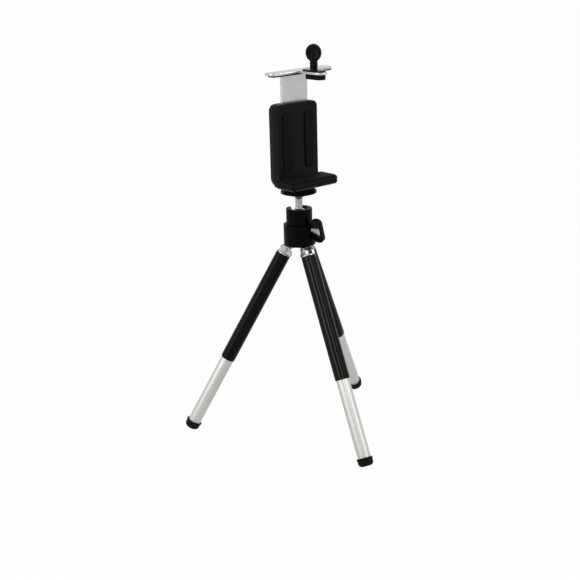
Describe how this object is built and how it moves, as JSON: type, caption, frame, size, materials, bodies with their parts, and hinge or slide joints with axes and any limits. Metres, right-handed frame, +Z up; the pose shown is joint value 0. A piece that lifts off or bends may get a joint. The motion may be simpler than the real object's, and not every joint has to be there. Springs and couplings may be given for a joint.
{
  "type": "phone tripod",
  "caption": "Small folding tripod: hinged telescopic legs, ball head with side lock knob and notch, and a sprung clamp with ribbed pads, hook and thumb screw.",
  "frame": {"origin": "on the floor plane under the ball head's axis, at the centre of the three feet", "axes": "+Z up along the ball head's axis, -Y out of the clamp's open front, X along the jaws"},
  "size_m": [0.1433, 0.1385, 0.267],
  "materials": {
    "black_metal": "semi-gloss black paint",
    "black_tube": "satin black lacquer",
    "bright_tube": "satin, drawn lengthwise",
    "nickel": "bright nickel",
    "steel": "plain zinc-plated",
    "black_plastic": "moulded, fine grain",
    "gloss_black": "moulded, smooth",
    "rubber": "matt",
    "nylon": "natural nylon",
    "brass": "turned"
  },
  "bodies": {
    "hub": {"hub_body": "black_metal", "hinge_block": "nickel", "base_screw": "steel", "socket_housing": "black_metal", "ball_seat": "nylon"},
    "leg_1": {"leg_bracket_1": "nickel", "leg_pin_1": "steel", "leg_outer_1": "black_tube"},
    "foot_1": {"leg_inner_1": "bright_tube", "leg_bush_1": "black_plastic", "foot_cap_1": "rubber"},
    "leg_2": {"leg_bracket_2": "nickel", "leg_pin_2": "steel", "leg_outer_2": "black_tube"},
    "foot_2": {"leg_inner_2": "bright_tube", "leg_bush_2": "black_plastic", "foot_cap_2": "rubber"},
    "leg_3": {"leg_bracket_3": "nickel", "leg_pin_3": "steel", "leg_outer_3": "black_tube"},
    "foot_3": {"leg_inner_3": "bright_tube", "leg_bush_3": "black_plastic", "foot_cap_3": "rubber"},
    "lock": {"lock_screw": "nickel", "lock_knob": "gloss_black"},
    "ball": {"ball_stud": "nickel"},
    "head": {"head_plate": "black_metal", "plate_pad": "rubber", "clamp_body": "black_plastic", "thread_insert": "brass", "lower_pad": "rubber", "back_pads": "rubber", "back_cover": "black_plastic", "cover_screws": "steel", "spring_left": "steel", "spring_right": "steel"},
    "jaw": {"slide_plate": "nickel", "wing_pad": "rubber"},
    "hook": {"hook_block": "rubber", "hook_cap": "gloss_black"},
    "thumb": {"thumb_knob": "gloss_black", "thumb_screw": "steel"}
  },
  "joints": [
    {"name": "leg_fold_1", "type": "hinge", "parent": "hub", "child": "leg_1", "pos_m": [-0.00179, -0.00923, 0.1302], "axis": [0.9816, -0.1908, 0], "range_deg": [0, 28.7]},
    {"name": "leg_slide_1", "type": "slide", "parent": "leg_1", "child": "foot_1", "axis": [0.0916, 0.4714, 0.8771], "range_m": [0, 0.05]},
    {"name": "leg_fold_2", "type": "hinge", "parent": "hub", "child": "leg_2", "pos_m": [0.00889, 0.00306, 0.1302], "axis": [-0.3256, 0.9455, 0], "range_deg": [0, 28.7]},
    {"name": "leg_slide_2", "type": "slide", "parent": "leg_2", "child": "foot_2", "axis": [-0.4541, -0.1563, 0.8771], "range_m": [0, 0.05]},
    {"name": "leg_fold_3", "type": "hinge", "parent": "hub", "child": "leg_3", "pos_m": [-0.00709, 0.00617, 0.1302], "axis": [-0.6561, -0.7547, 0], "range_deg": [0, 28.7]},
    {"name": "leg_slide_3", "type": "slide", "parent": "leg_3", "child": "foot_3", "axis": [0.3624, -0.3151, 0.8771], "range_m": [0, 0.05]},
    {"name": "lock_turn", "type": "hinge", "parent": "hub", "child": "lock", "pos_m": [0.00312, -0.01467, 0.1446], "axis": [0.2079, -0.9781, 0], "range_deg": [0, 270]},
    {"name": "ball_tilt", "type": "hinge", "parent": "hub", "child": "ball", "pos_m": [0, 0, 0.1526], "axis": [-0.9336, 0.3584, 0], "range_deg": [-12, 85]},
    {"name": "head_pan", "type": "hinge", "parent": "ball", "child": "head", "pos_m": [0, 0, 0.1526], "axis": [0, 0, 1], "continuous": true},
    {"name": "jaw_slide", "type": "slide", "parent": "head", "child": "jaw", "axis": [0, 0, 1], "range_m": [-0.015, 0.015], "deforming": ["spring_left", "spring_right"]},
    {"name": "hook_slide", "type": "slide", "parent": "jaw", "child": "hook", "axis": [0, 1, 0], "range_m": [-0.002, 0.005]},
    {"name": "thumb_turn", "type": "hinge", "parent": "hook", "child": "thumb", "pos_m": [0, -0.0174, 0.2474], "axis": [0, 0, 1], "range_deg": [0, 270]}
  ]
}
